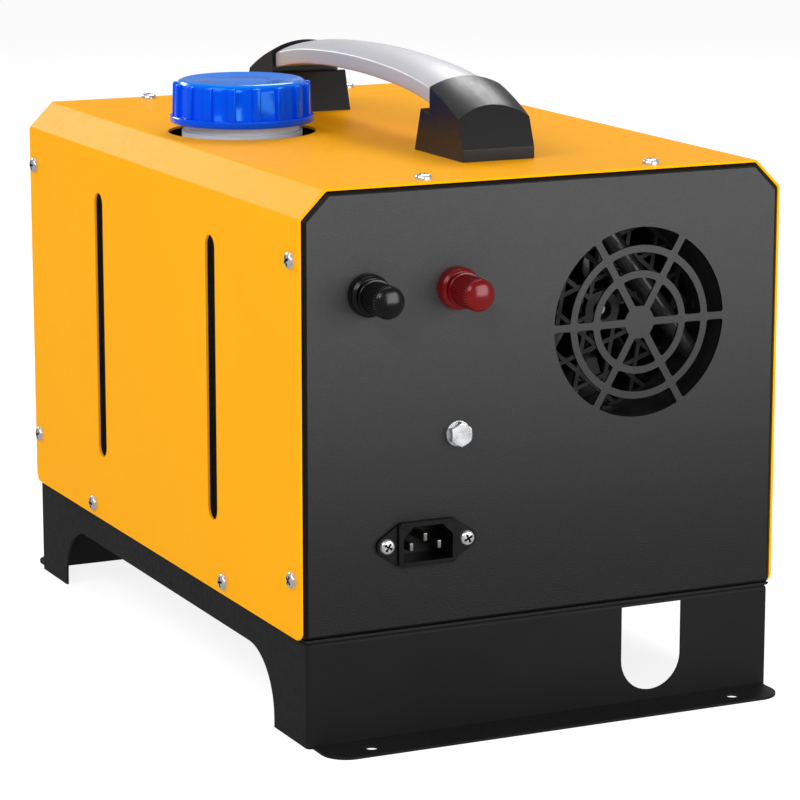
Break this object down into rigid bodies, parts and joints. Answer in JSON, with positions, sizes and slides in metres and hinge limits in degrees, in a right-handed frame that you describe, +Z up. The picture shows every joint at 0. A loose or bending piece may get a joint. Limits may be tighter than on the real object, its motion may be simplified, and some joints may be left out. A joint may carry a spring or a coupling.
{
  "type": "portable diesel air heater",
  "caption": "Portable diesel air heater in a yellow folded case on a black stand, with fuel cap, carrying handle, terminals, mains inlet, fan grille and warm-air vent.",
  "frame": {"origin": "on the floor, at the centre of the four bolt holes in the stand's feet", "axes": "+Z up; +Y along the case from the end with the fan grille and terminals to the end where warm air leaves; +X to the right when the grille end is looked at"},
  "size_m": [0.2502, 0.4038, 0.2955],
  "materials": {
    "cover_yellow": "satin yellow powder coat",
    "panel_black": "finely textured black powder coat",
    "stand_black": "satin black powder coat",
    "zinc": "bright zinc plated",
    "grip_silver": "satin silver-grey plastic",
    "handle_black": "satin black plastic",
    "tank_grey": "translucent grey polyethylene",
    "cap_blue": "gloss blue plastic",
    "rubber_black": "smooth black rubber",
    "foam_black": "open-cell black foam",
    "cast_alloy": "as-cast aluminium",
    "steel": "plain steel",
    "unit_black": "dark grey moulded plastic",
    "fan_black": "glossy black plastic",
    "knob_black": "gloss black plastic",
    "knob_red": "gloss dark red plastic",
    "brass": "plain brass",
    "inlet_black": "matt dark plastic",
    "pin_nickel": "nickel plated",
    "supply_case": "plain sheet aluminium",
    "bezel_black": "semi-gloss black plastic",
    "lens_clear": "clear smoked window",
    "board_green": "green circuit board",
    "button_grey": "soft grey rubber",
    "lead_black": "black wire insulation"
  },
  "bodies": {
    "case": {"yellow_cover": "cover_yellow", "rear_panel": "panel_black", "front_panel": "panel_black", "chassis_floor": "panel_black", "base_stand": "stand_black", "case_screws": "zinc", "handle_ends": "handle_black", "handle_grip": "grip_silver", "fuel_tank": "tank_grey", "tank_pad": "foam_black", "fuel_hoses": "rubber_black", "pump_body": "steel", "pump_spring": "steel", "pump_clamp": "zinc", "unit_bracket": "zinc", "casing_lower": "unit_black", "casing_upper": "unit_black", "star_guard": "unit_black", "fan_motor": "steel", "blower_housing": "cast_alloy", "heat_exchanger": "cast_alloy", "burner_tube": "steel", "glow_plug": "steel", "unit_control": "unit_black", "outlet_hood": "unit_black", "exhaust_pipe": "steel", "intake_pipe": "unit_black", "unit_nuts": "zinc", "outlet_ring": "unit_black", "post_base_black": "knob_black", "post_base_red": "knob_red", "post_studs": "brass", "inlet_socket": "inlet_black", "inlet_pins": "pin_nickel", "panel_screws": "zinc", "earth_bolt": "zinc", "power_supply": "supply_case", "bezel": "bezel_black", "display_lens": "lens_clear", "control_board": "board_green", "wiring": "lead_black"},
    "fan_rotor": {"cooling_fan": "fan_black", "motor_shaft": "steel", "air_impeller": "cast_alloy"},
    "cap_carrier": {"cap_gasket": "rubber_black"},
    "cap": {"fuel_cap": "cap_blue"},
    "black_insert": {"insert_black": "brass"},
    "black_knob": {"knob_black": "knob_black"},
    "red_insert": {"insert_red": "brass"},
    "red_knob": {"knob_red": "knob_red"},
    "power_button": {"button_power": "button_grey"},
    "down_button": {"button_down": "button_grey"},
    "up_button": {"button_up": "button_grey"},
    "set_button": {"button_set": "button_grey"},
    "swivel": {"swivel_ring": "unit_black"},
    "middle_vane": {"vane_middle": "unit_black"},
    "upper_vane": {"vane_upper": "unit_black"},
    "lower_vane": {"vane_lower": "unit_black"},
    "link_bar": {"vane_link": "unit_black"},
    "pump_piston": {"pump_plunger": "steel"}
  },
  "joints": [
    {"name": "fan_spin", "type": "hinge", "parent": "case", "child": "fan_rotor", "pos_m": [0.0479, -0.132, 0.1825], "axis": [0, 1, 0], "continuous": true},
    {"name": "cap_lift", "type": "slide", "parent": "case", "child": "cap_carrier", "axis": [0, 0, 1], "range_m": [0, 0.018]},
    {"name": "cap_turn", "type": "hinge", "parent": "cap_carrier", "child": "cap", "pos_m": [-0.065, 0.023, 0.275], "axis": [0, 0, 1], "range_deg": [0, 1080]},
    {"name": "black_lift", "type": "slide", "parent": "case", "child": "black_insert", "axis": [0, -1, 0], "range_m": [0, 0.006]},
    {"name": "black_turn", "type": "hinge", "parent": "black_insert", "child": "black_knob", "pos_m": [-0.09, -0.195, 0.2058], "axis": [0, -1, 0], "range_deg": [0, 2161]},
    {"name": "red_lift", "type": "slide", "parent": "case", "child": "red_insert", "axis": [0, -1, 0], "range_m": [0, 0.006]},
    {"name": "red_turn", "type": "hinge", "parent": "red_insert", "child": "red_knob", "pos_m": [-0.046, -0.195, 0.2058], "axis": [0, -1, 0], "range_deg": [0, 2161]},
    {"name": "power_press", "type": "slide", "parent": "case", "child": "power_button", "axis": [0, -1, 0], "range_m": [0, 0.0012], "stiffness_N_per_m": 300, "springref_m": -0.0005},
    {"name": "down_press", "type": "slide", "parent": "case", "child": "down_button", "axis": [0, -1, 0], "range_m": [0, 0.0012], "stiffness_N_per_m": 300, "springref_m": -0.0005},
    {"name": "up_press", "type": "slide", "parent": "case", "child": "up_button", "axis": [0, -1, 0], "range_m": [0, 0.0012], "stiffness_N_per_m": 300, "springref_m": -0.0005},
    {"name": "set_press", "type": "slide", "parent": "case", "child": "set_button", "axis": [0, -1, 0], "range_m": [0, 0.0012], "stiffness_N_per_m": 300, "springref_m": -0.0005},
    {"name": "vent_swivel", "type": "hinge", "parent": "case", "child": "swivel", "pos_m": [0.0479, 0.19135, 0.1825], "axis": [0, 1, 0], "continuous": true},
    {"name": "vane_tilt", "type": "hinge", "parent": "swivel", "child": "middle_vane", "pos_m": [0.0479, 0.19135, 0.1825], "axis": [1, 0, 0], "range_deg": [-35, 35]},
    {"name": "upper_tilt", "type": "hinge", "parent": "swivel", "child": "upper_vane", "pos_m": [0.0479, 0.19135, 0.1995], "axis": [1, 0, 0], "range_deg": [-35, 35]},
    {"name": "lower_tilt", "type": "hinge", "parent": "swivel", "child": "lower_vane", "pos_m": [0.0479, 0.19135, 0.1655], "axis": [1, 0, 0], "range_deg": [-35, 35]},
    {"name": "link_turn", "type": "hinge", "parent": "middle_vane", "child": "link_bar", "pos_m": [0.0649, 0.18605, 0.1825], "axis": [1, 0, 0], "range_deg": [-35, 35]},
    {"name": "piston_stroke", "type": "slide", "parent": "case", "child": "pump_piston", "axis": [0, -1, 0], "range_m": [0, 0.003], "stiffness_N_per_m": 200, "springref_m": -0.002, "deforming": ["pump_spring"]}
  ],
  "couplings": [
    {"joint": "cap_lift", "follows": "cap_turn", "m_per_rad": 0.00095492},
    {"joint": "black_turn", "follows": "black_lift", "rad_per_m": 6283.2},
    {"joint": "red_turn", "follows": "red_lift", "rad_per_m": 6283.2},
    {"joint": "upper_tilt", "follows": "vane_tilt", "ratio": 1},
    {"joint": "lower_tilt", "follows": "vane_tilt", "ratio": 1},
    {"joint": "link_turn", "follows": "vane_tilt", "ratio": -1}
  ]
}
